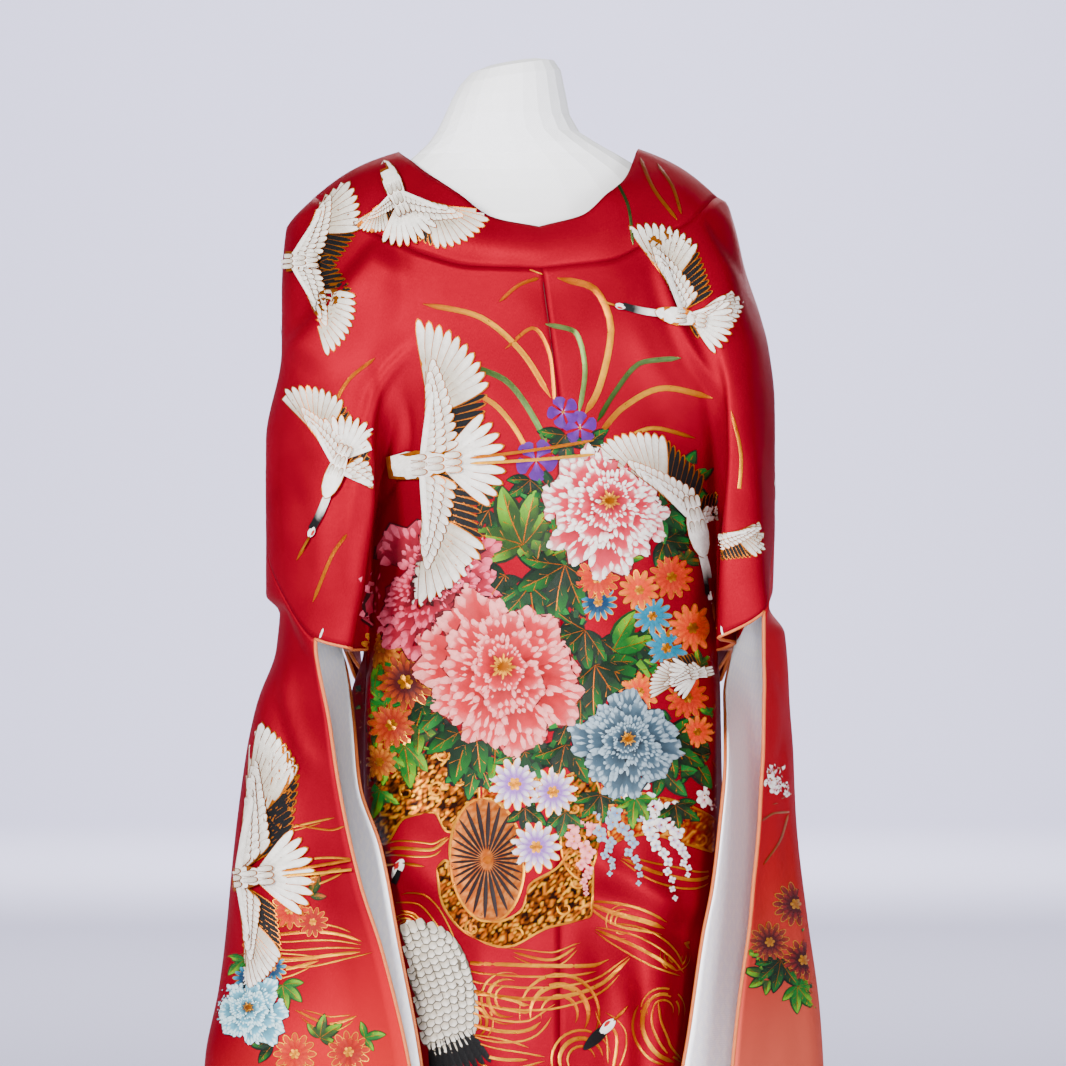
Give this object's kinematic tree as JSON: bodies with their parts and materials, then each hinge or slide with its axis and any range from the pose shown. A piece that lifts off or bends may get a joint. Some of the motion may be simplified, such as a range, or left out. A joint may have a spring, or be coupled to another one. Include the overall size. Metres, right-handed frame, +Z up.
{
  "type": "uchikake wedding kimono on a limbless dress form",
  "caption": "Full-length padded silk over-kimono with long hanging sleeves, wide collar and trailing hem, hung open on a limbless dress form with a stand.",
  "frame": {"origin": "centre of the underside of the stand's base, on the floor", "axes": "+Z up along the stand; the back of the garment faces -Y, its open front +Y; the wearer's left side is at -X"},
  "size_m": [0.74, 0.8645, 1.5947],
  "materials": {
    "brocade": "lined silk satin brocade",
    "lining": "white figured silk",
    "jersey": "matt white jersey",
    "stand": "satin"
  },
  "bodies": {
    "root": {"body_back_left": "brocade", "body_back_right": "brocade", "body_front_left": "brocade", "body_front_right": "brocade", "okumi_left": "brocade", "okumi_right": "brocade", "collar": "brocade", "sleeve_left": "brocade", "sleeve_right": "brocade", "hem_roll_left": "brocade", "hem_roll_right": "brocade", "sleeve_lining_left": "lining", "sleeve_lining_right": "lining", "dress_form": "jersey", "stand_pole": "stand", "stand_base": "stand"}
  },
  "joints": []
}
